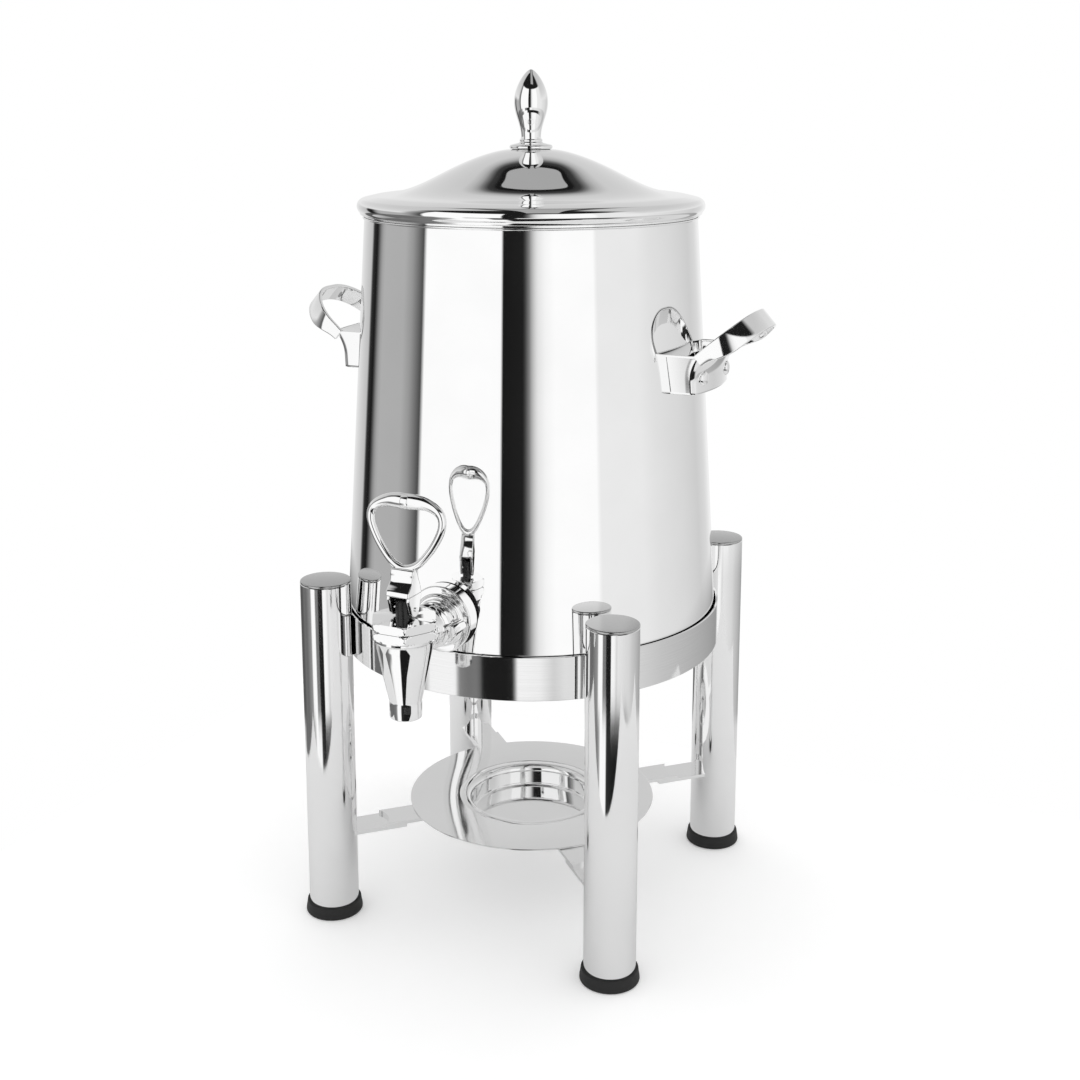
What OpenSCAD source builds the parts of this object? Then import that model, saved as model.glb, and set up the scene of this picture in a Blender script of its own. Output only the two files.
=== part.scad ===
// Coffee urn on a four-post stand, in millimetres.
// +Z is up, the tap points to -Y, the handles lie on the X axis.
// The origin is on the table, on the axis of the vessel.

/* [Vessel] */
// Outer radius of the vessel where it stands in the ring band
vessel_r_low = 143.4; // [143:0.1:144]
// Outer radius of the vessel at its mouth
vessel_r_top = 124.8; // [122:0.1:128]
// Height of the mouth above the table
mouth_z = 538; // [520:1:560]
// Wall thickness of the vessel
wall = 1; // [0.8:0.1:1.2]
// Radius of the corner between wall and bottom
corner_r = 7; // [5:1:9]
// Radius of the rolled bead at the mouth
bead_r = 2; // [1.5:0.1:2.5]

/* [Lid] */
// Radius of the lid over its rolled edge
lid_r = 130.3; // [129.5:0.1:132]
// Sheet thickness of the lid
lid_t = 1; // [0.8:0.1:1.2]
// Height of the dome above the mouth
dome_h = 47; // [46:0.5:48]
// Depth of the locating skirt below the mouth
skirt_h = 10; // [6:1:14]
// Largest radius of the turned knob
knob_r = 12.6; // [12:0.2:14]
// Height of the knob above the dome
knob_h = 58.4; // [56:0.1:62]

/* [Handles] */
// Outer radius of the riveted tab, about the vessel's axis
tab_r = 149.6; // [148:0.2:151]
// Sheet thickness of the tab
tab_t = 2; // [1.5:0.1:2.5]
// Height of the tab's lower edge
tab_z = 415.4; // [410:0.2:420]
// Height of the tab
tab_h = 29; // [27:1:31]
// Half width of the tab at its lower edge
tab_w_low = 38; // [34:1:40]
// Half width of the tab at its upper edge
tab_w_top = 41; // [40:1:42]
// Height of the rivets
rivet_z = 426.5; // [424:0.5:430]
// Angle of each rivet from the middle of the tab
rivet_angle = 9.9; // [8:0.1:11]
// Radius of a rivet's shank
rivet_r = 2.5; // [2:0.1:3]
// Reach of the loop from its root
loop_reach = 43; // [40:1:46]
// Half width of the loop
loop_w = 41; // [40:1:42]
// Corner radius of the loop
loop_corner = 32; // [28:1:34]
// Thickness of the loop's band
loop_t = 3.2; // [2.8:0.1:3.6]
// Width of the loop's band
loop_band = 15.4; // [14:0.2:17]
// Rise of the loop above the level, in degrees
loop_tilt = 41.3; // [38:0.1:45]

/* [Tap] */
// Distance of the spout from the vessel's axis
spout_y = 200; // [198:1:204]
// Height of the barrel's axis
tap_z = 265; // [263:1:268]
// Height of the spout's outlet
spout_z = 212; // [208:1:216]
// Radius of the spout under the hexagon
spout_r_top = 20.9; // [20:0.1:21]
// Radius of the spout at its outlet
spout_r_tip = 11; // [10.5:0.1:11.5]
// Radius of the outlet's bore
outlet_r = 7.5; // [7:0.1:8]
// Corner radius of the two hexagons
hex_r = 24.3; // [24:0.1:25]
// Height of each hexagon
hex_h = 6.4; // [6:0.1:6.6]
// Radius of the round flange against the vessel
flange_r = 24; // [22:0.5:26]
// Radius of the threaded shank in the wall
shank_r = 8; // [7.5:0.1:8.5]
// Radius of the black valve stem
stem_r = 5.8; // [5.5:0.1:6]
// Height of the lever's pin
pin_z = 289; // [288:0.5:290]
// Radius of the lever's pin
pin_r = 1.5; // [1.2:0.1:1.8]
// Half width of the lever's fork and neck
fork_w = 9; // [8.8:0.1:9.4]
// Half depth of the lever at its fork
fork_d = 8.5; // [8:0.1:9]
// Half width of the heart loop
heart_w = 29.8; // [28:0.2:31]
// Height of the heart loop's top
heart_z = 368; // [366:0.5:370]
// Thickness of the heart loop
heart_t = 4.6; // [4:0.2:5]
// Lean of the heart loop towards the vessel, in degrees
heart_lean = 5; // [0:1:8]

/* [Stand] */
// Diameter of a post
post_d = 38; // [37:0.5:39]
// Wall thickness of a post
post_t = 1.5; // [1.2:0.1:2]
// Height of the posts with their caps
post_z = 268.4; // [265:0.2:272]
// Outer radius of the ring band
ring_r = 146.2; // [146:0.1:146.6]
// Thickness of the ring band
ring_t = 1.5; // [1.2:0.1:1.6]
// Height of the ring band's lower edge
ring_z = 208; // [205:0.5:209]
// Height of the ring band itself
ring_h = 32; // [30:0.5:33]
// Depth of the seat that each post has for the ring band
seat_depth = 0.8; // [0.6:0.1:1]
// Radius of a rubber foot at the table
foot_r = 21.8; // [21:0.1:22.5]
// Height of a rubber foot
foot_h = 9.5; // [8:0.5:11]

/* [Burner plate] */
// Radius of the plate
plate_r = 98; // [95:0.5:100]
// Height of the plate's upper face
plate_z = 70.2; // [68:0.2:72]
// Sheet thickness of the plate
plate_t = 1.2; // [1:0.1:1.5]
// Radius of the recess for the fuel can
recess_r = 48; // [46:0.5:50]
// Depth of the recess
recess_h = 17; // [16:0.5:18]
// Width of the arms and brackets
arm_w = 25; // [24:0.5:26]
// Thickness of the arms and brackets
arm_t = 2.5; // [2:0.1:3]

/* [Hidden] */
$fn = 96;

// Direction of each post, in degrees from +X
CORNERS = [
  ["front_left", 225],
  ["front_right", 315],
  ["back_left", 135],
  ["back_right", 45]
];

ring_top = ring_z + ring_h;
ledge_t = 1.5;
ledge_r = 126;
floor_z = ring_z + 2;
post_r = post_d / 2;
post_circle = ring_r + post_r - seat_depth;
foot_floor = 3.5;
cap_t = 1.5;

// Points of an arc about (cx, cy) from angle a0 to a1, in n steps
function arc(cx, cy, r, a0, a1, n) =
  [for (i = [0:n]) [cx + r * cos(a0 + (a1 - a0) * i / n), cy + r * sin(a0 + (a1 - a0) * i / n)]];

// Outer radius of the vessel's tapered wall at height z
function vessel_r(z) =
  vessel_r_low + (vessel_r_top - vessel_r_low) * (z - ring_top) / (mouth_z - ring_top);

// Colours of the finishes
STEEL = [0.80, 0.80, 0.80];
BRUSHED = [0.68, 0.68, 0.67];
CAST = [0.86, 0.86, 0.87];
BLACK = [0.06, 0.06, 0.06];
RUBBER = [0.10, 0.11, 0.11];
SILICONE = [0.85, 0.84, 0.80];

// ---------- vessel ----------

// Solid body of the tapered wall, grown by extra all round
module vessel_cone(extra) {
  low = ring_top - 30;
  high = mouth_z + 30;
  translate([0, 0, low])
    cylinder(r1 = vessel_r(low) + extra, r2 = vessel_r(high) + extra, h = high - low, $fn = 180);
}

// Cylinder on a radial line of the right-hand side, from radius r0 to r1
module radial_pin(angle, z, r0, r1, r) {
  rotate([0, 0, angle])
    translate([r0, 0, z])
      rotate([0, 90, 0])
        cylinder(r = r, h = r1 - r0, $fn = 48);
}

// Cylinder along Y through the wall at the tap, from distance y0 to y1 in front of the axis
module tap_rod(y0, y1, r, fn = 64) {
  translate([0, -y0, tap_z])
    rotate([90, 0, 0])
      cylinder(r = r, h = y1 - y0, $fn = fn);
}

// Drawn wall: rounded in at the bottom, tapered to the mouth
module urn_shell() {
  outer = concat(
    arc(vessel_r_low - corner_r, floor_z + corner_r, corner_r, -90, 0, 6),
    [[vessel_r_low, ring_top], [vessel_r_top, mouth_z]]
  );
  inner = concat(
    [[vessel_r_top - wall, mouth_z], [vessel_r_low - wall, ring_top]],
    arc(vessel_r_low - corner_r, floor_z + corner_r, corner_r - wall, 0, -90, 6)
  );
  color(STEEL)
    difference() {
      rotate_extrude($fn = 180)
        polygon(concat(outer, inner));
      tap_rod(vessel_r_low - 20, vessel_r_low + 5, shank_r + 0.1);
    }
}

// Bottom pan: raised in the middle, flat where it stands on the ledge
module urn_bottom() {
  edge = vessel_r_low - corner_r;
  rise = 3;
  color(STEEL)
    rotate_extrude($fn = 180)
      polygon([
        [0, floor_z + rise], [edge - 26, floor_z + rise], [edge - 14, floor_z], [edge, floor_z],
        [edge, floor_z + wall], [edge - 13.6, floor_z + wall],
        [edge - 25.6, floor_z + rise + wall], [0, floor_z + rise + wall]
      ]);
}

// Rolled bead round the mouth, cut to lie on the wall
module rim_bead() {
  color(STEEL)
    difference() {
      rotate_extrude($fn = 180)
        translate([vessel_r_top + 1.1, mouth_z - 1])
          circle(r = bead_r, $fn = 32);
      translate([0, 0, mouth_z - 20])
        cylinder(r1 = vessel_r(mouth_z - 20), r2 = vessel_r_top, h = 20, $fn = 180);
    }
}

// ---------- handles, drawn on the +X side and mirrored for the left ----------

// Space inside the tab's front and its two side walls, drawn in by the sheet thickness t
module tab_space(t, low, high) {
  lip = tab_z + tab_h;
  intersection() {
    rotate_extrude($fn = 180)
      polygon([
        [100, tab_z - low], [tab_r - t, tab_z - low], [tab_r - t, lip - 13],
        [tab_r + 1.6 - t, lip - 7], [tab_r + 6.4 - t, lip],
        [tab_r + 7.1 - t + high, lip + high], [100, lip + high]
      ]);
    translate([110, 0, tab_z])
      rotate([90, 0, 90])
        linear_extrude(60)
          polygon([
            [t - tab_w_low, -low], [tab_w_low - t, -low],
            [tab_w_top - t, tab_h + high], [t - tab_w_top, tab_h + high]
          ]);
  }
}

// Tab: a curved front with a flared top, and two side walls back to the vessel
module handle_tab() {
  difference() {
    tab_space(0, 0, 0);
    tab_space(tab_t, 1, 1);
    vessel_cone(0);
  }
}

// D outline of the loop, drawn in by the distance d
module loop_outline(d) {
  side = loop_w - loop_corner;
  bend = loop_reach - loop_corner;
  back = -12;
  polygon(concat(
    [[back, -(loop_w - d)]],
    arc(bend, -side, loop_corner - d, -90, 0, 10),
    arc(bend, side, loop_corner - d, 0, 90, 10),
    [[back, loop_w - d]]
  ));
}

// Band of the loop, rising outwards: its ends are cut to the tab's inner face, and its lower
// edge draws in towards them
module handle_loop() {
  root = [tab_r + 3.2, 0, tab_z + tab_h - 3];
  difference() {
    translate(root)
      rotate([0, -loop_tilt, 0])
        translate([0, 0, -loop_band / 2])
          linear_extrude(loop_band)
            difference() {
              loop_outline(0);
              loop_outline(loop_t);
            }
    cylinder(r = tab_r - tab_t, h = mouth_z, $fn = 180);
    translate(root)
      rotate([0, -loop_tilt, 0])
        rotate([90, 0, 0])
          linear_extrude(4 * loop_w, center = true)
            polygon([
              [-16, -1.6], [-4, -1.6], [2, -2.4], [8, -4.2], [14, -6.2], [19, -7.3],
              [24, -7.7], [30, -7.9], [30, -12], [-16, -12]
            ]);
  }
}

module handle() {
  color(STEEL)
    difference() {
      union() {
        handle_tab();
        handle_loop();
      }
      for (a = [-rivet_angle, rivet_angle])
        radial_pin(a, rivet_z, 120, 160, rivet_r + 0.1);
    }
}

// Hat-shaped bracket welded to the wall behind the tab, which is riveted to it
module handle_bracket() {
  t = 2;
  half_w = 33;
  face_r = tab_r - tab_t - 0.1;
  color(STEEL)
    intersection() {
      difference() {
        translate([110, -half_w, tab_z + 3])
          cube([60, 2 * half_w, 18]);
        difference() {
          translate([110, t - half_w, tab_z])
            cube([60, 2 * (half_w - t), 30]);
          difference() {
            cylinder(r = tab_r + 20, h = mouth_z, $fn = 180);
            cylinder(r = face_r - t, h = mouth_z, $fn = 180);
          }
        }
        vessel_cone(0);
        for (a = [-rivet_angle, rivet_angle])
          radial_pin(a, rivet_z, 120, 160, rivet_r + 0.1);
      }
      cylinder(r = face_r, h = mouth_z, $fn = 180);
    }
}

// Two rivets with a dome head outside and a flat set head behind the bracket
module handle_rivets() {
  inside = tab_r - tab_t - 2;
  head_r = 5.5;
  head_h = 2.6;
  color(STEEL)
    for (a = [-rivet_angle, rivet_angle])
      rotate([0, 0, a])
        translate([0, 0, rivet_z])
          rotate([0, 90, 0])
            rotate_extrude($fn = 48)
              polygon(concat(
                [[0, inside - 1.7], [4.2, inside - 1.7], [4.2, inside - 0.2]],
                [[rivet_r, inside - 0.2], [rivet_r, tab_r + 0.1], [head_r, tab_r + 0.1]],
                [for (i = [1:6]) [head_r * cos(15 * i), tab_r + 0.1 + head_h * sin(15 * i)]]
              ));
}

// ---------- lid ----------

// Height of the dome's outer surface, as radius and height above the mouth
DOME = [
  [17, 1.000], [24, 0.978], [36, 0.905], [48, 0.805], [60, 0.685],
  [72, 0.557], [84, 0.442], [96, 0.360], [108, 0.312], [118, 0.285]
];
function dome_z(i) = mouth_z + dome_h * DOME[i][1];

// Inner face of the dome: one sheet thickness below the outer one
function dome_inner() = [for (i = [len(DOME) - 1:-1:0]) [DOME[i][0], dome_z(i) - lid_t]];

// Domed lid: rolled shoulder, turned-in hem and a hole for the knob's screw
module lid_dome() {
  shoulder = 5.7;
  shoulder_z = mouth_z + 6;
  hem_z = mouth_z + 1.3;
  color(STEEL)
    rotate_extrude($fn = 180)
      polygon(concat(
        [[2.7, dome_z(0)]],
        [for (i = [0:len(DOME) - 1]) [DOME[i][0], dome_z(i)]],
        arc(lid_r - shoulder, shoulder_z, shoulder, 72, 0, 5),
        arc(lid_r - 1.7, hem_z + 1.7, 1.7, 0, -90, 4),
        [[vessel_r_top - 0.5, hem_z], [vessel_r_top - 0.5, hem_z + lid_t]],
        [[lid_r - 1.8, hem_z + lid_t], [lid_r - lid_t, hem_z + lid_t + 0.8]],
        arc(lid_r - shoulder, shoulder_z, shoulder - lid_t, 0, 72, 5),
        dome_inner(),
        [[2.7, dome_z(0) - lid_t]]
      ));
}

// Ring under the dome that centres the lid in the mouth
module lid_skirt() {
  skirt_r = vessel_r_top - wall - 1.6;
  color(STEEL)
    difference() {
      translate([0, 0, mouth_z - skirt_h])
        difference() {
          cylinder(r = skirt_r, h = skirt_h + 20, $fn = 180);
          translate([0, 0, -1])
            cylinder(r = skirt_r - 0.9, h = skirt_h + 22, $fn = 180);
        }
      rotate_extrude($fn = 180)
        polygon(concat(
          [[0, mouth_z + 60], [lid_r, mouth_z + 60]],
          arc(lid_r - 5.7, mouth_z + 6, 5.7 - lid_t, 0, 72, 5),
          dome_inner(),
          [[0, dome_z(0) - lid_t]]
        ));
    }
}

// Turned knob: flange, hollow-cut neck and egg-shaped grip
module lid_finial() {
  base = dome_z(0);
  neck_r = 7.4;
  neck_z = base + 9;
  wide_z = base + 34.5;
  top = base + knob_h;
  lower = [for (i = [0:8]) [
    neck_r + (knob_r - neck_r) * (1 - cos(22.5 * i)) / 2,
    neck_z + (wide_z - neck_z) * i / 8
  ]];
  upper = [for (i = [1:12]) [
    knob_r * (0.4 * cos(7.5 * i) + 0.6 * cos(90 * sin(7.5 * i))),
    wide_z + (top - wide_z) * sin(7.5 * i)
  ]];
  color(CAST)
    difference() {
      rotate_extrude($fn = 96)
        polygon(concat(
          [[0, base], [14.6, base], [15.6, base + 0.3], [16.1, base + 1.2]],
          [[16.1, base + 2.4], [15.5, base + 3.3], [14.6, base + 3.7], [9.2, base + 5.4]],
          [[8.6, base + 6], [8.6, base + 7.2], [8, base + 8]],
          lower, upper
        ));
      translate([0, 0, base - 1])
        cylinder(r = 2.6, h = 21, $fn = 32);
    }
}

module finial_washer() {
  color(BRUSHED)
    translate([0, 0, dome_z(0) - lid_t - 1])
      difference() {
        cylinder(r = 7, h = 1, $fn = 48);
        translate([0, 0, -1])
          cylinder(r = 2.6, h = 3, $fn = 32);
      }
}

// Pan-head screw with a cross slot, up into the knob
module finial_screw() {
  seat = dome_z(0) - lid_t - 1;
  color(BRUSHED)
    difference() {
      union() {
        translate([0, 0, seat - 3])
          cylinder(r = 4.5, h = 3, $fn = 48);
        translate([0, 0, seat - 0.1])
          cylinder(r = 2.5, h = 20, $fn = 32);
      }
      for (a = [0, 90])
        rotate([0, 0, a])
          translate([-3, -0.5, seat - 4])
            cube([6, 1, 2.6]);
    }
}

// ---------- tap ----------

gasket_t = 1.2;
flange_front = 152.5;
nut_face = 137.5;
lock_nut_h = 6;
wing_y0 = 153;
wing_y1 = 168;
stub_r = 10;
bore_r = 5;
hex_z = 269.8;
bonnet_z = hex_z + hex_h + 0.2;
bonnet_top = bonnet_z + hex_h;
valve_seat_z = 240;
chamber_r = 13;
head_r = 7.5;

// Saddle gasket between the wall and the flange
module tap_outer_gasket() {
  color(BLACK)
    intersection() {
      difference() {
        tap_rod(vessel_r_low - 15, vessel_r_low + 8, flange_r - 2);
        tap_rod(vessel_r_low - 16, vessel_r_low + 9, shank_r + 0.1);
        vessel_cone(0);
      }
      vessel_cone(gasket_t);
    }
}

// Threaded tube through the wall, with its stepped flange saddled to the vessel
module tap_shank() {
  color(CAST)
    difference() {
      union() {
        difference() {
          translate([0, -vessel_r_low + 12, tap_z])
            rotate([90, 0, 0])
              rotate_extrude($fn = 96)
                polygon([
                  [0, 0], [flange_r, 0], [flange_r, flange_front - vessel_r_low + 7],
                  [flange_r - 1.5, flange_front - vessel_r_low + 8.5],
                  [flange_r - 4.5, flange_front - vessel_r_low + 8.5],
                  [flange_r - 7, flange_front - vessel_r_low + 10],
                  [flange_r - 10, flange_front - vessel_r_low + 12],
                  [0, flange_front - vessel_r_low + 12]
                ]);
          vessel_cone(gasket_t);
        }
        tap_rod(128, flange_front, shank_r);
        tap_rod(flange_front - 0.1, wing_y1 - 1, stub_r);
      }
      tap_rod(120, wing_y1 + 1, bore_r);
    }
}

// Inner gasket: curved against the wall, flat towards the nut
module tap_inner_gasket() {
  color(BLACK)
    intersection() {
      difference() {
        tap_rod(nut_face, vessel_r_low + 5, 15);
        tap_rod(nut_face - 1, vessel_r_low + 6, shank_r + 0.1);
      }
      vessel_cone(-wall);
    }
}

module tap_lock_nut() {
  color(CAST)
    difference() {
      tap_rod(nut_face - lock_nut_h, nut_face, 14, 6);
      tap_rod(nut_face - lock_nut_h - 1, nut_face + 1, shank_r + 0.1);
    }
}

// Round coupling nut with two round lugs
module tap_wing_nut() {
  length = wing_y1 - wing_y0;
  color(CAST)
    difference() {
      union() {
        translate([0, -wing_y0, tap_z])
          rotate([90, 0, 0])
            rotate_extrude($fn = 96)
              polygon([
                [0, 0], [14.5, 0], [16, 1.5], [16, 4], [14.5, 5.5], [14.5, length - 6],
                [16, length - 4.5], [16, length - 1.5], [14.5, length], [0, length]
              ]);
        for (s = [-1, 1])
          translate([19 * s, -wing_y0 - 2, tap_z])
            rotate([90, 0, 0])
              cylinder(r = 4.3, h = length, $fn = 48);
      }
      tap_rod(wing_y0 - 1, wing_y1 - 0.9, stub_r + 0.1);
      tap_rod(wing_y1 - 1, wing_y1 + 1, bore_r);
    }
}

// Casting: barrel, valve chamber under a hexagonal collar, and spout
module tap_body() {
  color(CAST)
    difference() {
      union() {
        translate([0, -spout_y, 0])
          rotate_extrude($fn = 96)
            polygon([
              [0, spout_z], [spout_r_tip - 0.8, spout_z], [spout_r_tip, spout_z + 0.8],
              [spout_r_tip + 0.5, 224.5], [spout_r_top, hex_z], [0, hex_z]
            ]);
        translate([0, -spout_y, hex_z])
          cylinder(r = hex_r, h = hex_h, $fn = 6);
        translate([0, -wing_y1, tap_z])
          rotate([90, 0, 0])
            rotate_extrude($fn = 96)
              polygon([
                [0, 0], [13.5, 0], [14.6, 1.4], [14.6, 4], [12.4, 7], [11, 9],
                [11, spout_y - wing_y1 - chamber_r], [0, spout_y - wing_y1 - chamber_r]
              ]);
      }
      translate([0, -spout_y, spout_z - 1])
        cylinder(r = outlet_r, h = 60, $fn = 64);
      translate([0, -spout_y, valve_seat_z])
        cylinder(r = chamber_r, h = 60, $fn = 64);
      tap_rod(wing_y1 - 1, spout_y, bore_r);
    }
}

// Hexagonal bonnet nut with the plug that closes the chamber
module tap_bonnet() {
  plug_h = 8;
  color(CAST)
    translate([0, -spout_y, bonnet_z])
      difference() {
        union() {
          intersection() {
            cylinder(r = hex_r, h = hex_h, $fn = 6);
            cylinder(r1 = hex_r + 4, r2 = hex_r - 2.2, h = hex_h, $fn = 96);
          }
          translate([0, 0, -plug_h])
            cylinder(r = chamber_r - 0.4, h = plug_h + 1, $fn = 64);
        }
        translate([0, 0, -plug_h - 1])
          cylinder(r = stem_r + 0.08, h = 30, $fn = 64);
      }
}

// Black stem: rounded head inside the fork, thin tail into the seat cup
module tap_stem() {
  foot = 255;
  color(BLACK)
    translate([0, -spout_y, 0])
      difference() {
        union() {
          intersection() {
            translate([0, 0, foot])
              cylinder(r = stem_r, h = 60, $fn = 64);
            union() {
              translate([-20, -20, foot])
                cube([40, 40, pin_z - foot]);
              translate([-20, 0, pin_z])
                rotate([0, 90, 0])
                  cylinder(r = head_r, h = 40, $fn = 64);
            }
          }
          translate([0, 0, 246])
            cylinder(r = 4, h = 10, $fn = 48);
        }
        translate([-20, 0, pin_z])
          rotate([0, 90, 0])
            cylinder(r = pin_r + 0.05, h = 40, $fn = 48);
      }
}

// Silicone cup on the stem's tail that closes the seat
module tap_seat_cup() {
  low = valve_seat_z + 0.3;
  color(SILICONE)
    translate([0, -spout_y, 0])
      difference() {
        rotate_extrude($fn = 64)
          polygon([
            [0, low], [8.8, low], [10, low + 1.2], [10.4, low + 5],
            [9, low + 10], [6.5, 254.6], [0, 254.6]
          ]);
        translate([0, 0, 246])
          cylinder(r = 4, h = 12, $fn = 48);
      }
}

heart_x = 13.8;
heart_mid = 346.5;
heart_low = 313;
neck_z = 304;
fork_gap = stem_r + 0.5;

// One closed heart outline: round lobes of radius r, lowest point low, top of the middle high
module heart_outline(r, low, high) {
  right = concat(
    arc(heart_x, heart_mid, r, -38, 82, 12),
    [[7, high - 1.2], [0, high]]
  );
  left = [for (i = [len(right) - 2:-1:0]) [-right[i][0], right[i][1]]];
  polygon(concat([[-6, low + 2.4], [0, low], [6, low + 2.4]], right, left));
}

// Lever: heart loop, neck with a scooped front, and the fork that straddles the stem
module tap_lever() {
  lobe = heart_w - heart_x;
  color(CAST)
    translate([0, -spout_y, 0])
      difference() {
        union() {
          translate([0, 0, neck_z])
            rotate([-heart_lean, 0, 0])
              translate([0, 1 + heart_t / 2, -neck_z])
                rotate([90, 0, 0])
                  linear_extrude(heart_t)
                    difference() {
                      heart_outline(lobe, heart_low, heart_z);
                      heart_outline(lobe - 4.6, heart_low + 4.6, heart_z - 13);
                    }
          translate([-fork_w, 0, 0])
            rotate([90, 0, 90])
              linear_extrude(2 * fork_w) {
                translate([0, pin_z])
                  circle(r = 5.5, $fn = 64);
                polygon([
                  [-5.5, pin_z], [5.5, pin_z], [fork_d, pin_z + 7], [fork_d + 0.4, neck_z - 3],
                  [fork_d - 1, neck_z + 4], [6, neck_z + 9], [4.4, neck_z + 13],
                  [-0.2, neck_z + 13], [-2.2, neck_z + 3], [-4.5, neck_z - 1],
                  [-fork_d, neck_z - 4], [-fork_d, pin_z + 7]
                ]);
              }
        }
        translate([-fork_gap, -20, pin_z - 20])
          cube([2 * fork_gap, 40, 20 + head_r + 0.6]);
        translate([-20, 0, pin_z])
          rotate([0, 90, 0])
            cylinder(r = pin_r, h = 40, $fn = 48);
      }
}

module tap_lever_pin() {
  length = 2 * fork_w + 1.4;
  color(BRUSHED)
    translate([-length / 2, -spout_y, pin_z])
      rotate([0, 90, 0])
        cylinder(r = pin_r, h = length, $fn = 48);
}

// ---------- stand ----------

// Places its children on a post's axis, with +X pointing away from the vessel
module at_post(angle) {
  rotate([0, 0, angle])
    translate([post_circle, 0, 0])
      children();
}

module ring_tube(r, t, z, h) {
  translate([0, 0, z])
    difference() {
      cylinder(r = r, h = h, $fn = 180);
      translate([0, 0, -1])
        cylinder(r = r - t, h = h + 2, $fn = 180);
    }
}

// Post: a tube with a shallow seat where the ring band is welded on
module leg_tube(angle) {
  top = post_z - cap_t;
  color(STEEL)
    difference() {
      at_post(angle)
        translate([0, 0, foot_floor])
          difference() {
            cylinder(r = post_r, h = top - foot_floor);
            translate([0, 0, -1])
              cylinder(r = post_r - post_t, h = top);
            translate([0, 0, top - foot_floor - 2])
              cylinder(r = post_r - post_t, h = 4);
          }
      translate([0, 0, ring_z])
        cylinder(r = ring_r, h = ring_h, $fn = 180);
    }
}

// Flat cap with a rounded edge and a plug
module leg_cap(angle) {
  color(STEEL)
    at_post(angle)
      rotate_extrude($fn = 96)
        polygon([
          [0, post_z - 7], [post_r - post_t - 0.1, post_z - 7],
          [post_r - post_t - 0.1, post_z - cap_t], [post_r, post_z - cap_t],
          [post_r, post_z - 0.7], [post_r - 0.7, post_z], [0, post_z]
        ]);
}

// Rubber cup, flared at the table
module leg_foot(angle) {
  color(RUBBER)
    at_post(angle)
      rotate_extrude($fn = 96)
        polygon([
          [0, 0], [foot_r - 1.2, 0], [foot_r, 1.4], [foot_r - 0.3, 3.6],
          [post_r + 1.6, foot_h - 0.8], [post_r + 1, foot_h],
          [post_r, foot_h], [post_r, foot_floor], [0, foot_floor]
        ]);
}

// Flat band that joins the posts and holds the vessel
module ring_band() {
  color(BRUSHED)
    ring_tube(ring_r, ring_t, ring_z, ring_h);
}

// Inner flange that the vessel stands on
module ring_ledge() {
  color(BRUSHED)
    ring_tube(ring_r - ring_t, ring_r - ring_t - ledge_r, floor_z - ledge_t, ledge_t);
}

// Lower strip, welded to its post
module leg_bracket(angle) {
  inner = 108;
  color(STEEL)
    difference() {
      rotate([0, 0, angle])
        translate([inner, -arm_w / 2, plate_z - plate_t - 2 * arm_t])
          cube([post_circle - inner - 10, arm_w, arm_t]);
      at_post(angle)
        cylinder(r = post_r, h = plate_z);
    }
}

// Upper strip, spot-welded under the plate, its free end cut hollow
module plate_arm(angle) {
  inner = 62;
  hollow_r = 19.5;
  hollow_at = 139.4;
  color(STEEL)
    rotate([0, 0, angle])
      translate([0, 0, plate_z - plate_t - arm_t])
        difference() {
          translate([inner, -arm_w / 2, 0])
            cube([hollow_at - 5 - inner, arm_w, arm_t]);
          translate([hollow_at, 0, -1])
            cylinder(r = hollow_r, h = arm_t + 2);
        }
}

// Round plate with the stepped recess for the fuel can
module burner_plate() {
  low = plate_z - recess_h;
  r = recess_r;
  t = plate_t;
  color(STEEL)
    rotate_extrude($fn = 180)
      polygon([
        [0, low - t], [r - 1.4, low - t], [r + t, low + 1.4], [r + t, low + 7.2],
        [r + 2, low + 8.2], [r + 4, low + 9.4], [r + 6.2, low + 10.8], [r + 7.3, low + 13.2],
        [r + 8.4, low + 15], [r + 10.4, plate_z - t], [plate_r, plate_z - t],
        [plate_r, plate_z], [r + 10, plate_z], [r + 7.4, low + 15.8],
        [r + 6.2, low + 13.6], [r + 5.2, low + 11.7], [r + 3.2, low + 10.6],
        [r + 1, low + 9.4], [r, low + 7.6], [r, low + 2], [r - 2, low], [0, low]
      ]);
}

urn_shell();
urn_bottom();
rim_bead();
mirror([1, 0, 0]) handle();  // handle_left
handle();  // handle_right
mirror([1, 0, 0]) handle_bracket();  // handle_bracket_left
handle_bracket();  // handle_bracket_right
mirror([1, 0, 0]) handle_rivets();  // handle_rivets_left
handle_rivets();  // handle_rivets_right
lid_dome();
lid_skirt();
lid_finial();
finial_washer();
finial_screw();
tap_shank();
tap_outer_gasket();
tap_inner_gasket();
tap_lock_nut();
tap_wing_nut();
tap_body();
tap_bonnet();
tap_stem();
tap_seat_cup();
tap_lever();
tap_lever_pin();
for (c = CORNERS) {
  leg_tube(c[1]);
  leg_cap(c[1]);
  leg_foot(c[1]);
  leg_bracket(c[1]);
  plate_arm(c[1]);
}
ring_band();
ring_ledge();
burner_plate();
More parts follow.
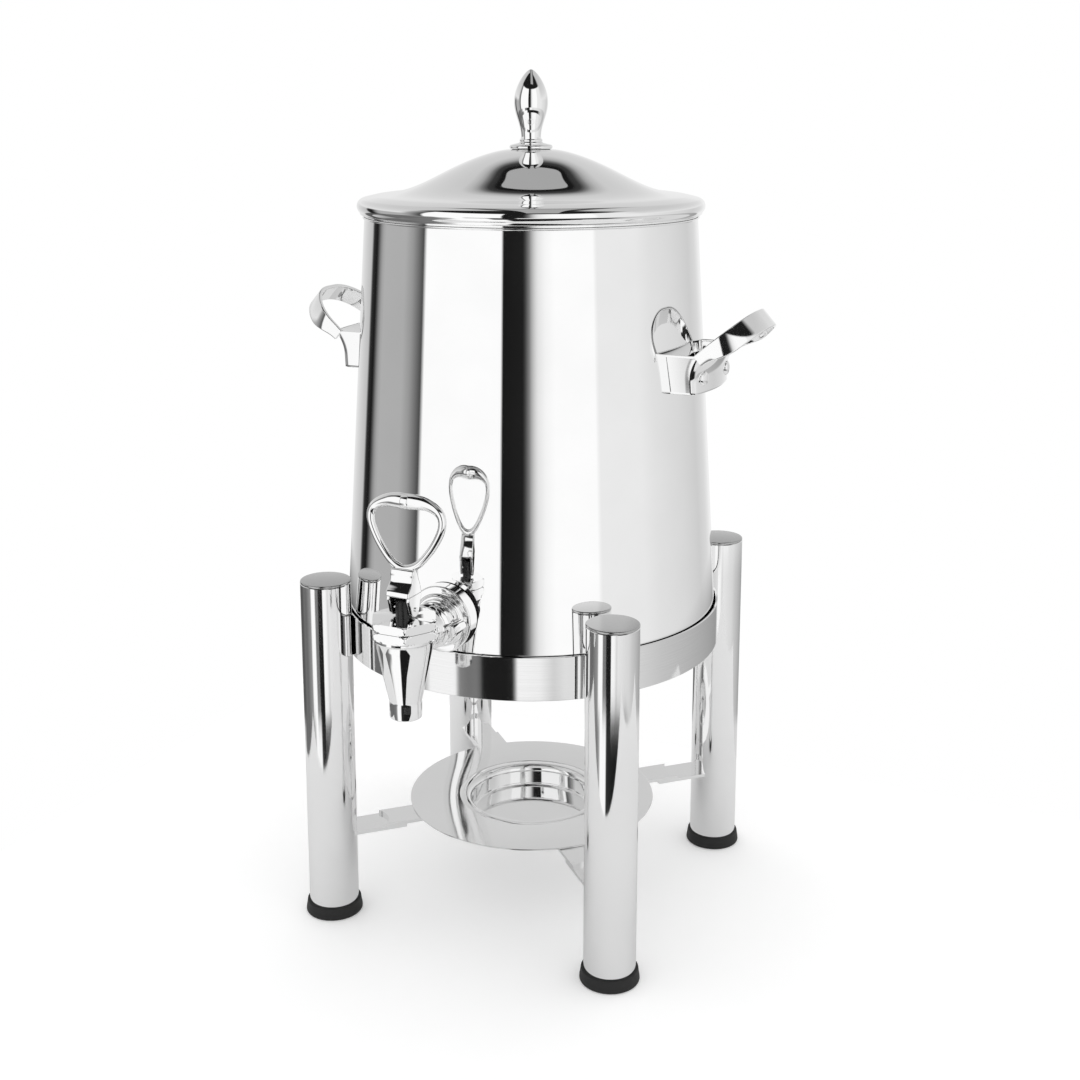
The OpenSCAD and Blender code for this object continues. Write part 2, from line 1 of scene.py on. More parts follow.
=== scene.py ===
import bpy
import math
import numpy as np
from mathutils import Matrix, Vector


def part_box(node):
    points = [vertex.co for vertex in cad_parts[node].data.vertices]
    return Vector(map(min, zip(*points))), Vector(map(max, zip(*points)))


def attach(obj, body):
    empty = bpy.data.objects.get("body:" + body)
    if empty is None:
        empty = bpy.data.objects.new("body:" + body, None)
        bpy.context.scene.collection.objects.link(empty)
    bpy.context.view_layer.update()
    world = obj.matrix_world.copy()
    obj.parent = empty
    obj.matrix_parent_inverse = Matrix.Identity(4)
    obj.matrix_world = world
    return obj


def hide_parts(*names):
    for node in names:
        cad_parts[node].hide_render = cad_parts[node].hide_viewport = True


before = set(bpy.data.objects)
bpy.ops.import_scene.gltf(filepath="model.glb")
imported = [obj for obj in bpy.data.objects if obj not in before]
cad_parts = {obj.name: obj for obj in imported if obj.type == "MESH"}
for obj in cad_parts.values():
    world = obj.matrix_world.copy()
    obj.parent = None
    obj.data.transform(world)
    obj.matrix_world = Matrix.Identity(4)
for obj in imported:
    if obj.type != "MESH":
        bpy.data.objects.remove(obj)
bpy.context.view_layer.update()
scene = bpy.context.scene

# ---------- camera, floor and studio ----------
# The photograph's view: 1.14 m from the vessel's axis, 25 degrees to the right of the tap,
# at the height of the knob, looking 11 degrees down.
camera = bpy.data.objects.new("camera", bpy.data.cameras.new("camera"))
scene.collection.objects.link(camera)
camera.location = (0.4838, -1.0301, 0.61856)
camera.rotation_euler = (math.radians(78.847), 0, math.radians(24.823))
camera.data.lens = 50.13
camera.data.sensor_width = 36
camera.data.shift_y = -0.1296
scene.camera = camera

scene.view_settings.view_transform = "Standard"


def node(tree, kind, **settings):
    """A shader node of that kind, with its settings."""
    n = tree.nodes.new(kind)
    for key, value in settings.items():
        setattr(n, key, value)
    return n


def sums(tree, operation, a, b=None, clamp=False):
    """One step of arithmetic on sockets or numbers."""
    m = node(tree, "ShaderNodeMath", operation=operation, use_clamp=clamp)
    for socket, value in zip(m.inputs, (a, b)):
        if value is None:
            continue
        if isinstance(value, (int, float)):
            socket.default_value = value
        else:
            tree.links.new(value, socket)
    return m.outputs[0]


def ramp(tree, factor, stops):
    """Grey values along a factor from 0 to 1, straight between the stops."""
    r = node(tree, "ShaderNodeValToRGB")
    elements = r.color_ramp.elements
    while len(elements) > 1:
        elements.remove(elements[0])
    elements[0].position, elements[0].color = stops[0][0], (stops[0][1],) * 3 + (1,)
    for position, value in stops[1:]:
        elements.new(position).color = (value,) * 3 + (1,)
    tree.links.new(factor, r.inputs[0])
    return r.outputs[0]


def compass(stops):
    """Stops given in degrees from +X, as factors from 0 to 1."""
    return [((degrees + 180) / 360, value) for degrees, value in stops]


def mixed(tree, factor, a, b, blend="MIX"):
    """Two colours, blended by a factor."""
    m = node(tree, "ShaderNodeMix", data_type="RGBA", blend_type=blend)
    for socket, value in ((m.inputs[0], factor), (m.inputs[6], a), (m.inputs[7], b)):
        if isinstance(value, (int, float)):
            socket.default_value = value
        elif isinstance(value, tuple):
            socket.default_value = value
        else:
            tree.links.new(value, socket)
    return m.outputs[2]


def step(tree, value, low, high):
    """0 below low, 1 above high, straight between them."""
    m = node(tree, "ShaderNodeMapRange")
    tree.links.new(value, m.inputs[0])
    m.inputs[1].default_value = low
    m.inputs[2].default_value = high
    return m.outputs[0]


# The studio that the metal shows: softboxes and dark gaps in upright bands, grey overhead. The
# vessel's wall sees the level bands. The hoop sees the next ones down, then come the posts' and
# those that only the spout's slope and other leaning surfaces see.
world = bpy.data.worlds.new("studio")
scene.world = world
world.use_nodes = True
wt = world.node_tree
wt.nodes.clear()
direction = node(wt, "ShaderNodeTexCoord").outputs["Generated"]
xyz = node(wt, "ShaderNodeSeparateXYZ")
wt.links.new(direction, xyz.inputs[0])
turn = sums(wt, "ARCTAN2", xyz.outputs[1], xyz.outputs[0])
around = sums(wt, "MULTIPLY_ADD", turn, 0.5 / math.pi)
around.node.inputs[2].default_value = 0.5
rise = sums(wt, "MULTIPLY", sums(wt, "ARCSINE", xyz.outputs[2]), 180 / math.pi)

level_bands = ramp(wt, around, compass([
    (-180, .43), (-157, .42), (-150, .31), (-146, .20), (-142, .10), (-139.6, .05),
    (-138.8, 1), (-84.4, 1), (-83.2, .010), (-69.5, .014), (-66.5, .17), (-64, .50),
    (-61, .78), (-56, .93), (-50, 1), (-24, 1), (-21.5, .84), (8, .83), (20, .77), (45, .70),
    (66, .62), (80, .70), (96, .88), (132, .80), (150, .62), (159, .52), (162, .03),
    (168.5, .008), (171, .07), (174, .24), (178, .40)]))
low_bands = ramp(wt, around, compass([
    (-180, .16), (-160, .14), (-133, .18), (-124, .35), (-118, 1), (-95, 1), (-91, .03),
    (-67, .01), (-15, .012), (-9, .06), (-3, .30), (4, .50), (20, .66), (60, .68),
    (100, .70), (150, .60), (165, .35), (174, .12)]))
ring_bands = ramp(wt, around, compass([
    (-180, .16), (-160, .14), (-133, .30), (-128, 1), (-111, 1), (-109, .24), (-103, .18),
    (-98, .20), (-95.5, .14), (-94, .012), (-75, .012), (-73.5, 1), (-60, .95), (-52, .70), (-45, .82),
    (4, .70), (20, .60), (60, .45), (100, .30), (130, .15), (165, .08), (174, .12)]))
steep_bands = ramp(wt, around, compass([
    (-180, .16), (-140, .20), (-130, .9), (-120, 1), (-84, 1), (-81, .01), (-28, .01), (-25, .74),
    (10, .74), (60, .6), (150, .5), (174, .2)]))
overhead = ramp(wt, sums(wt, "DIVIDE", rise, 90, clamp=True), [
    (0, .97), (.04, .92), (.09, .80), (.14, .74), (.20, .69), (.30, .64), (.45, .58), (1, .55)])
facing = ramp(wt, around, compass([(-160, 0), (-152, 1), (-2, 1), (14, 0)]))

# One long softbox hangs overhead in a dark surround. Its length lies along q and its width along
# s, both taken from the view's direction as a unit vector.
s_axis = node(wt, "ShaderNodeVectorMath", operation="DOT_PRODUCT")
q_axis = node(wt, "ShaderNodeVectorMath", operation="DOT_PRODUCT")
for dot, axis in ((s_axis, (.87, .49, 0)), (q_axis, (-.49, .87, 0))):
    wt.links.new(direction, dot.inputs[0])
    dot.inputs[1].default_value = axis
box_s, box_half_width, box_half_length = .0575, .118, .60
off_s = sums(wt, "ABSOLUTE", sums(wt, "SUBTRACT", s_axis.outputs["Value"], box_s))
off_q = sums(wt, "ABSOLUTE", q_axis.outputs["Value"])
over = sums(wt, "SUBTRACT", off_s, box_half_width)
past = sums(wt, "SUBTRACT", off_q, box_half_length)


def beyond(tree, a, b, weight):
    """Distance from a box with rounded corners of .03: sqrt(max(a, 0)^2 + (w max(b, 0))^2) - .03."""
    wide = sums(tree, "POWER", sums(tree, "MAXIMUM", a, 0), 2)
    far = sums(tree, "POWER", sums(tree, "MULTIPLY", sums(tree, "MAXIMUM", b, 0), weight), 2)
    return sums(tree, "SUBTRACT", sums(tree, "SQRT", sums(tree, "ADD", wide, far)), .03)


off_box = beyond(wt, over, past, 1)
surround = ramp(wt, sums(wt, "MULTIPLY", beyond(wt, over, past, .85), 4, clamp=True), [
    (0, .008), (.07, .010), (.12, .030), (.20, .042), (.25, .10), (.31, .20), (.37, .34), (.45, .46),
    (.58, .58), (.78, .70), (1, .82)])

behind = mixed(wt, 1.0, overhead, surround, "DARKEN")
ceiling = mixed(wt, step(wt, rise, 37, 39), level_bands, (.012, .012, .012, 1))
dark = mixed(wt, facing, behind, ceiling)
above = mixed(wt, step(wt, off_box, -.0005, -.0045), dark, (.38, .38, .38, 1))
lower = mixed(wt, step(wt, rise, -23.2, -22.7), low_bands, ring_bands)
lower = mixed(wt, step(wt, rise, -39, -37), steep_bands, lower)
bands = mixed(wt, step(wt, rise, -17.5, -15.5), lower, level_bands)
studio = mixed(wt, step(wt, rise, 3, 9), bands, above)
path = node(wt, "ShaderNodeLightPath")
shown = mixed(wt, path.outputs["Is Glossy Ray"], (1, 1, 1, 1), studio)
sky = node(wt, "ShaderNodeBackground")
wt.links.new(shown, sky.inputs[0])
wt.links.new(sky.outputs[0], node(wt, "ShaderNodeOutputWorld").inputs[0])

# A pale table top, whose front edge is .405 m in front of the vessel's axis. The camera sees it
# as white as the backdrop, except for the shadows at the feet.
floor = bpy.data.objects.new("floor", bpy.data.meshes.new("floor"))
scene.collection.objects.link(floor)
corners = [(-.42, -.405), (.6, -.405), (.6, .28), (-.42, .28)]
floor.data.from_pydata([(c[0], c[1], -0.0002) for c in corners], [], [(0, 1, 2, 3)])
paper = bpy.data.materials.new("table_top")
paper.use_nodes = True
pt = paper.node_tree
pt.nodes["Principled BSDF"].inputs["Roughness"].default_value = 0.9
pt.nodes["Principled BSDF"].inputs["Specular IOR Level"].default_value = 0
seen = node(pt, "ShaderNodeLightPath")
pt.links.new(mixed(pt, seen.outputs["Is Camera Ray"], (.80, .80, .80, 1), (.92, .92, .92, 1)),
             pt.nodes["Principled BSDF"].inputs["Base Color"])
pt.nodes["Principled BSDF"].inputs["Emission Color"].default_value = (1, 1, 1, 1)
pt.links.new(sums(pt, "MULTIPLY", seen.outputs["Is Camera Ray"], .20),
             pt.nodes["Principled BSDF"].inputs["Emission Strength"])
floor.data.materials.append(paper)

# ---------- posts ----------
# Four stainless tubes, 38 mm across, polished along their length. Each has a pressed-in flat cap
# of duller steel and stands in a black rubber cup.


def to_shape(name, points, faces, body, slot, material, stands_for, crease=32):
    """One finished mesh from points (n, 3) in metres and lists of faces. Its faces are turned
    outwards: the signed volume of the tetrahedra to the origin has to be positive."""
    volume = 0.0
    for block in faces:
        corner = points[block]
        for k in range(1, corner.shape[1] - 1):
            volume += np.einsum("ij,ij->", corner[:, 0], np.cross(corner[:, k], corner[:, k + 1]))
    mesh = bpy.data.meshes.new(name)
    rows = [row for block in faces for row in (block if volume > 0 else block[:, ::-1]).tolist()]
    mesh.from_pydata(points.tolist(), [], rows)
    mesh.shade_smooth()
    mesh.set_sharp_from_angle(angle=math.radians(crease))
    mesh.materials.append(material)
    piece = bpy.data.objects.new(name, mesh)
    scene.collection.objects.link(piece)
    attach(piece, body)
    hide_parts(*stands_for)
    return piece


def sweep(loops):
    """Faces of a tube through loops (n, m, 3): quads (i, j), (i+1, j), (i+1, j+1), (i, j+1)
    round each loop. Returns the points (n*m, 3) and the quads."""
    n, m = loops.shape[:2]
    i, j = np.meshgrid(np.arange(n - 1), np.arange(m), indexing="ij")
    k = (j + 1) % m
    quads = np.stack([i * m + j, (i + 1) * m + j, (i + 1) * m + k, i * m + k], -1).reshape(-1, 4)
    return loops.reshape(-1, 3), quads


def turned(outline, steps=160, centre=(0, 0), closed=True):
    """Surface of revolution in mm: (cx + r cos u, cy + r sin u, z) for each (r, z) of the outline.
    A closed outline joins its last row to its first; an open one starts and ends at r = 0,
    where the ring of points becomes one. Returns points in metres and faces."""
    outline = np.asarray(outline, float)
    u = np.arange(steps) * 2 * np.pi / steps
    if closed:
        outline = np.vstack([outline, outline[:1]])
        ring = outline
    else:
        ring = outline[1:-1]
    loops = np.stack([
        centre[0] + ring[:, :1] * np.cos(u),
        centre[1] + ring[:, :1] * np.sin(u),
        ring[:, 1:] + 0 * u], -1) / 1000
    points, quads = sweep(loops)
    if closed:
        last = len(points) - steps
        quads = np.where(quads >= last, quads - last, quads)
        return points[:last], [quads]
    poles = np.array([[centre[0], centre[1], outline[0, 1]],
                      [centre[0], centre[1], outline[-1, 1]]]) / 1000
    k = np.arange(steps)
    last = len(points) - steps
    fans = np.vstack([
        np.stack([np.full(steps, len(points)), k, (k + 1) % steps], -1),
        np.stack([np.full(steps, len(points) + 1), last + (k + 1) % steps, last + k], -1)])
    return np.vstack([points, poles]), [quads, fans]


def bend(x, y, r, a0, a1, n=8):
    """Points of an arc about (x, y) from angle a0 to a1 in degrees."""
    a = np.radians(np.linspace(a0, a1, n + 1))
    return np.stack([x + r * np.cos(a), y + r * np.sin(a)], -1)


def sheet_metal(name, tint, rough, sway=0.0, grain=0.0, grain_axis="Z"):
    """Polished or ground stainless: smudges in the roughness, hairline marks along one axis,
    and the slow sway of sheet, as bump."""
    m = bpy.data.materials.new(name)
    m.use_nodes = True
    t = m.node_tree
    metal = t.nodes["Principled BSDF"]
    metal.inputs["Metallic"].default_value = 1
    place = node(t, "ShaderNodeTexCoord").outputs["Object"]
    smudge = node(t, "ShaderNodeTexNoise")
    smudge.inputs["Scale"].default_value = 22
    smudge.inputs["Detail"].default_value = 5
    t.links.new(place, smudge.inputs["Vector"])
    stretch = node(t, "ShaderNodeMapping")
    scale = {"X": (6, 900, 900), "Y": (900, 6, 900), "Z": (900, 900, 6)}[grain_axis]
    stretch.inputs["Scale"].default_value = scale
    t.links.new(place, stretch.inputs["Vector"])
    hairs = node(t, "ShaderNodeTexNoise")
    hairs.inputs["Scale"].default_value = 1
    hairs.inputs["Detail"].default_value = 3
    t.links.new(stretch.outputs[0], hairs.inputs["Vector"])
    shine = node(t, "ShaderNodeMapRange")
    shine.inputs[1].default_value = 0.35
    shine.inputs[2].default_value = 0.75
    shine.inputs[3].default_value = rough * 0.7
    shine.inputs[4].default_value = rough * 1.7
    t.links.new(smudge.outputs["Fac"], shine.inputs[0])
    worn = sums(t, "ADD", shine.outputs[0], sums(t, "MULTIPLY", hairs.outputs["Fac"], rough * 0.5))
    t.links.new(worn, metal.inputs["Roughness"])
    shade = ramp(t, smudge.outputs["Fac"], [(0.3, tint * 0.97), (0.7, tint)])
    t.links.new(shade, metal.inputs["Base Color"])
    slow = node(t, "ShaderNodeTexNoise")
    slow.inputs["Scale"].default_value = 11
    slow.inputs["Detail"].default_value = 1
    t.links.new(place, slow.inputs["Vector"])
    first = node(t, "ShaderNodeBump")
    first.inputs["Distance"].default_value = sway
    first.inputs["Strength"].default_value = 1
    t.links.new(slow.outputs["Fac"], first.inputs["Height"])
    second = node(t, "ShaderNodeBump")
    second.inputs["Distance"].default_value = grain
    second.inputs["Strength"].default_value = 1
    t.links.new(hairs.outputs["Fac"], second.inputs["Height"])
    t.links.new(first.outputs[0], second.inputs["Normal"])
    t.links.new(second.outputs[0], metal.inputs["Normal"])
    return m


def moulded(name, colour, rough, speck, depth):
    """Rubber or plastic: fine specks in the colour, uneven shine and a moulded skin as bump."""
    m = bpy.data.materials.new(name)
    m.use_nodes = True
    t = m.node_tree
    skin = t.nodes["Principled BSDF"]
    place = node(t, "ShaderNodeTexCoord").outputs["Object"]
    fine = node(t, "ShaderNodeTexNoise")
    fine.inputs["Scale"].default_value = speck
    fine.inputs["Detail"].default_value = 4
    t.links.new(place, fine.inputs["Vector"])
    t.links.new(ramp(t, fine.outputs["Fac"], [(0.3, colour * 0.75), (0.75, colour * 1.5)]),
                skin.inputs["Base Color"])
    shine = node(t, "ShaderNodeMapRange")
    shine.inputs[3].default_value = rough * 0.8
    shine.inputs[4].default_value = min(1, rough * 1.3)
    t.links.new(fine.outputs["Fac"], shine.inputs[0])
    t.links.new(shine.outputs[0], skin.inputs["Roughness"])
    lumps = node(t, "ShaderNodeBump")
    lumps.inputs["Distance"].default_value = depth
    lumps.inputs["Strength"].default_value = 1
    t.links.new(fine.outputs["Fac"], lumps.inputs["Height"])
    t.links.new(lumps.outputs[0], skin.inputs["Normal"])
    return m


post_steel = sheet_metal("post_steel", 0.965, 0.045, sway=0.00004, grain=0.0000012)
cap_steel = sheet_metal("cap_steel", 0.52, 0.12, sway=0.00004, grain=0.0000012)
foot_rubber = moulded("foot_rubber", 0.012, 0.62, 1400, 0.00006)
post_circle = 164.4
tube = np.vstack([
    [[17.5, 266.6], [17.5, 4]], [[18.7, 4], [19, 4.3]], [[19, 266.1]], [[18.7, 266.5]]])
cap = np.vstack([
    [[0, 261.4]], [[17.3, 261.4], [17.3, 266.5], [18.5, 266.55]], [[18.9, 266.75], [19, 267.1]],
    bend(18.1, 267.5, 0.9, 0, 90, 5), [[0, 268.4]]])
cup = np.vstack([
    [[0, 0], [20.4, 0]], bend(20.4, 1.4, 1.4, -90, 0, 5), [[21.7, 3.0]], [[21.2, 5.6]],
    [[20.8, 8.2]], bend(20.1, 8.8, 0.7, 0, 90, 4), [[19.05, 9.4], [19.05, 3.7], [0, 3.7]]])
for name, degrees in (("front_left", 225), ("front_right", 315), ("back_left", 135), ("back_right", 45)):
    spot = (post_circle * math.cos(math.radians(degrees)), post_circle * math.sin(math.radians(degrees)))
    to_shape("post_" + name, *turned(tube, 96, spot), "stand", "post_steel", post_steel,
             ["leg_tube_" + name])
    to_shape("post_cap_" + name, *turned(cap, 96, spot, closed=False), "stand", "post_steel",
             cap_steel, ["leg_cap_" + name], crease=50)
    to_shape("post_foot_" + name, *turned(cup, 96, spot, closed=False), "stand", "foot_rubber",
             foot_rubber, ["leg_foot_" + name])

# ---------- ring band ----------
# Flat stainless strip, 32 mm high, rolled into a hoop, brushed along its length and welded to
# the posts. A narrow flange inside carries the vessel.


def brushed_band(name, tint, rough):
    """Steel brushed round the vessel's axis: hairlines in the piece's own UV, which runs round
    the hoop and up it in metres, and a blur across them."""
    m = bpy.data.materials.new(name)
    m.use_nodes = True
    t = m.node_tree
    metal = t.nodes["Principled BSDF"]
    metal.inputs["Metallic"].default_value = 1
    metal.inputs["Anisotropic"].default_value = 0.85
    along = node(t, "ShaderNodeTangent", direction_type="RADIAL", axis="Z")
    t.links.new(along.outputs[0], metal.inputs["Tangent"])
    uv = node(t, "ShaderNodeUVMap")
    stretch = node(t, "ShaderNodeMapping")
    stretch.inputs["Scale"].default_value = (14, 3200, 1)
    t.links.new(uv.outputs[0], stretch.inputs["Vector"])
    hairs = node(t, "ShaderNodeTexNoise")
    hairs.inputs["Scale"].default_value = 1
    hairs.inputs["Detail"].default_value = 4
    hairs.inputs["Roughness"].default_value = 0.7
    t.links.new(stretch.outputs[0], hairs.inputs["Vector"])
    t.links.new(ramp(t, hairs.outputs["Fac"], [(0.3, tint * 0.86), (0.7, tint)]),
                metal.inputs["Base Color"])
    shine = node(t, "ShaderNodeMapRange")
    shine.inputs[3].default_value = rough * 0.7
    shine.inputs[4].default_value = rough * 1.4
    t.links.new(hairs.outputs["Fac"], shine.inputs[0])
    t.links.new(shine.outputs[0], metal.inputs["Roughness"])
    lines = node(t, "ShaderNodeBump")
    lines.inputs["Distance"].default_value = 0.000002
    lines.inputs["Strength"].default_value = 1
    t.links.new(hairs.outputs["Fac"], lines.inputs["Height"])
    t.links.new(lines.outputs[0], metal.inputs["Normal"])
    return m


def hoop_uv(piece):
    """UV in metres: the band's radius times the angle about the vessel's axis, and the height plus
    the point's own radius, so that flat rings get their hairlines too."""
    mesh = piece.data
    layer = mesh.uv_layers.new(name="brushing")
    corner = np.empty(len(mesh.loops), np.int32)
    mesh.loops.foreach_get("vertex_index", corner)
    co = np.empty(len(mesh.vertices) * 3)
    mesh.vertices.foreach_get("co", co)
    co = co.reshape(-1, 3)
    r = np.hypot(co[:, 0], co[:, 1])
    u = np.arctan2(co[:, 1], co[:, 0])[corner]
    per = u.reshape(-1, 4)
    per = np.where(per.max(1, keepdims=True) - per > np.pi, per + 2 * np.pi, per)
    uv = np.stack([per.reshape(-1) * band_r / 1000, (co[:, 2] + r)[corner]], -1)
    layer.data.foreach_set("uv", uv.astype(np.float32).ravel())


band_r = 146.0
band_steel = brushed_band("band_steel", 0.95, 0.045)
band = to_shape("ring_hoop", *turned(np.vstack([
    [[144.7, 239.7], [144.7, 208.3]], [[145.0, 208.0], [145.9, 208.0]], [[146.2, 208.3]],
    [[146.2, 239.7]], [[145.9, 240.0], [145.0, 240.0]]]), 240), "stand", "brushed_band", band_steel,
    ["ring_band"])
hoop_uv(band)
ledge = to_shape("ring_flange", *turned([
    [126, 208.7], [126.2, 208.5], [144.7, 208.5], [144.7, 210], [126.2, 210], [126, 209.8]], 240),
    "stand", "brushed_band", band_steel, ["ring_ledge"])
hoop_uv(ledge)

# ---------- burner plate ----------
# Round plate of polished sheet with a pressed, stepped recess for the fuel can. It is
# spot-welded to four strips, and each strip to a bracket on its post.
plate_steel = sheet_metal("plate_steel", 0.92, 0.05, sway=0.00006, grain=0.0000015, grain_axis="X")
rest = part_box("burner_plate")[1][2] * 1000
recess = np.vstack([
    [[0, rest - 17]], [[45.2, rest - 17]], bend(45.6, rest - 14.8, 2.2, -90, 0, 6),
    [[48.2, rest - 6.4]], bend(54.2, rest - 5.6, 6.0, 180, 90, 16), [[56.4, rest + 0.2]],
    bend(58.4, rest - 0.9, 0.9, 150, 90, 4)])
recess[:, 1] = np.minimum(recess[:, 1], rest)
turn_out = np.gradient(recess, axis=0)
normal = np.stack([turn_out[:, 1], -turn_out[:, 0]], -1)
normal /= np.linalg.norm(normal, axis=1)[:, None]
below = (recess + 1.2 * normal)[::-1]
below[-1] = (0, rest - 18.2)
plate_outline = np.vstack([
    recess, [[97.6, rest]], bend(97.5, rest - 0.6, 0.6, 80, -80, 6), below])
to_shape("plate_top", *turned(plate_outline, 200, closed=False), "stand", "plate_steel", plate_steel,
         ["burner_plate"], crease=40)
for name in ("front_left", "front_right", "back_left", "back_right"):
    for part in ("leg_bracket_", "plate_arm_"):
        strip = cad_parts[part + name]
        strip.data.materials.clear()
        strip.data.materials.append(plate_steel)

# ---------- vessel ----------
# Spun and welded stainless drum, mirror-polished, with a rolled bead at its mouth and a
# dished bottom pan.
mirror_steel = sheet_metal("mirror_steel", 0.985, 0.022, sway=0.00002, grain=0.0000006)
wall = np.vstack([
    bend(136.4, 217, 7, -90, 0, 8),
    [[143.4, 239], [143.36, 240.5], [143.25, 242.4], [142.0, 262.5], [134.1, 389], [126.2, 515.6],
     [125.45, 527.5], [125.2, 532], [124.9, 535], [124.8, 538], [123.8, 538], [123.9, 535],
     [124.2, 532], [125.2, 515.6], [133.1, 389], [141.0, 262.5], [142.4, 240]],
    bend(136.4, 217, 6, 0, -90, 8)])
to_shape("vessel_wall", *turned(wall, 256), "urn", "mirror_steel", mirror_steel, ["urn_shell"],
         crease=25)
to_shape("vessel_bead", *turned(bend(125.2, 535.6, 1.0, 0, 345, 23), 256), "urn", "mirror_steel",
         mirror_steel, ["rim_bead"])
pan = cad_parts["urn_bottom"]
pan.data.materials.clear()
pan.data.materials.append(mirror_steel)

# ---------- handles ----------
# Each is one pressed piece of thick polished strip: a flat loop that rises outwards, and a
# tab with two side walls that stand on the vessel. Two dome rivets fix it to a bracket inside.


def wall_radius(z):
    """Outer radius of the straight tapered wall, in mm, at height z."""
    return 143.4 - 18.6 * (z - 240) / 298


def tab_sheet(inset, v, high):
    """Plan of the pressed tab at a height v from 0 to 1, drawn in by the sheet thickness: a side
    wall, a bend of 5 mm radius, the front at a constant distance from the vessel's axis, and
    the same again. Rows of (x, y, z) in mm."""
    half = 37.6 + 3.2 * v - inset
    front = 149.6 + 7.0 * np.clip((v - 0.35) / 0.65, 0, 1) ** 2.0 - inset
    z = 415.6 + high * v
    turn_r = 5.0 - inset
    end = math.asin((half - turn_r) / (front - turn_r))
    cx, cy = (front - turn_r) * math.cos(end), half - turn_r
    start = math.sqrt(wall_radius(z) ** 2 - half**2)
    walls = np.stack([np.linspace(start, cx, 6)[:-1], np.full(5, -half)], -1)
    a = np.linspace(-np.pi / 2, -end, 9)
    corner = np.stack([cx + turn_r * np.cos(a), -cy + turn_r * np.sin(a)], -1)
    b = np.linspace(-end, end, 41)[1:-1]
    face = front * np.stack([np.cos(b), np.sin(b)], -1)
    one = np.vstack([walls, corner, face])
    plan = np.vstack([one, (np.vstack([walls, corner]) * [1, -1])[::-1]])
    return np.hstack([plan, np.full((len(plan), 1), z)])


def pressed_tab():
    """Closed sheet: for each point along the plan, a loop up the outer face, over the rounded
    top edge, down the inner face and under the rounded lower edge."""
    thick = 1.9
    rows = []
    for v in np.linspace(0.02, 0.98, 22):
        rows.append(tab_sheet(0, v, 28.8))
    for a in np.linspace(0, np.pi, 6)[1:-1]:
        rows.append(tab_sheet(thick * (1 - np.cos(a)) / 2, 0.98 + 0.02 * np.sin(a), 28.8))
    for v in np.linspace(0.98, 0.02, 22):
        rows.append(tab_sheet(thick, v, 28.8))
    for a in np.linspace(0, np.pi, 6)[1:-1]:
        rows.append(tab_sheet(thick * (1 + np.cos(a)) / 2, 0.02 - 0.02 * np.sin(a), 28.8))
    loops = np.stack(rows, 1)
    points, quads = sweep(loops)
    m = loops.shape[1]
    first = np.arange(m)[::-1]
    return points, [quads, first[None], (first[::-1] + len(points) - m)[None]]


def along(path, across, upward, sections):
    """Closed sweep: at each row of the path, that row's section (a, b) laid along the two unit
    directions across and upward. Ends are closed by one face each."""
    loops = path[:, None] + sections[..., :1] * across[:, None] + sections[..., 1:] * upward[:, None]
    points, quads = sweep(loops)
    m = sections.shape[1]
    first = np.arange(m)
    return points, [quads, first[::-1][None], (first + len(points) - m)[None]]


def rounded_bar(width, height, r, n=4):
    """Outline of a bar width by height with corners of radius r, centred."""
    w, h = width / 2 - r, height / 2 - r
    return np.vstack([bend(sx * w, sy * h, r, a, a + 90, n) for sx, sy, a in (
        (1, 1, 0), (-1, 1, 90), (-1, -1, 180), (1, -1, 270))])


def handle_loop():
    """Flat band round a D: short arms, two bends of 35 mm and a short outer run, in a plane that
    rises outwards at 41 degrees. The band's lower edge draws in towards the tab: its half
    height there is 7.7 - 6.1 (1 - w), w = 3 t^2 - 2 t^3, t = (x + 4) / 26."""
    half, bend_r, reach = 39.4, 35.0, 40.2
    d = np.vstack([
        [[x, -half] for x in np.linspace(-4, reach - bend_r, 8)[:-1]],
        bend(reach - bend_r, -(half - bend_r), bend_r, -90, 0, 28),
        bend(reach - bend_r, half - bend_r, bend_r, 0, 90, 28),
        [[x, half] for x in np.linspace(reach - bend_r, -4, 8)[1:]]])
    tilt = math.radians(41.3)
    e1, e2 = np.array([math.cos(tilt), 0, math.sin(tilt)]), np.array([0, 1.0, 0])
    up = np.array([-math.sin(tilt), 0, math.cos(tilt)])
    path = np.array([152.8, 0, 441.4]) + d[:, :1] * e1 + d[:, 1:] * e2
    run = np.gradient(d, axis=0)
    run /= np.linalg.norm(run, axis=1)[:, None]
    across = run[:, 1:] * e1 - run[:, :1] * e2
    t = np.clip((d[:, 0] + 4) / 26, 0, 1)
    bars = np.repeat(rounded_bar(3.2, 15.4, 0.9)[None], len(path), 0)
    bars[..., 1] += np.where(bars[..., 1] < 0, 6.1 * (1 - 3 * t**2 + 2 * t**3)[:, None], 0)
    return along(path, across, np.repeat(up[None], len(path), 0), bars)


def join(*parts):
    """Several closed shells as one set of points and faces."""
    points, faces, base = [], [], 0
    for p, blocks in parts:
        points.append(p)
        faces += [f + base for f in blocks]
        base += len(p)
    return np.vstack(points), faces


def aimed(part, at, forward):
    """A turned part, its own +Z laid along the unit direction forward, its origin moved to at."""
    points, faces = part
    z = np.asarray(forward, float)
    x = np.cross([0, 0, 1.0], z) if abs(z[2]) < 0.9 else np.array([1.0, 0, 0])
    x /= np.linalg.norm(x)
    y = np.cross(z, x)
    turned_points = points @ np.array([x, y, z])
    return turned_points + np.asarray(at, float) / 1000, faces


def flipped(part):
    """Mirror image of a part in the plane X = 0, faces turned to stay outwards."""
    points, faces = part
    return points * [-1, 1, 1], [f[:, ::-1] for f in faces]


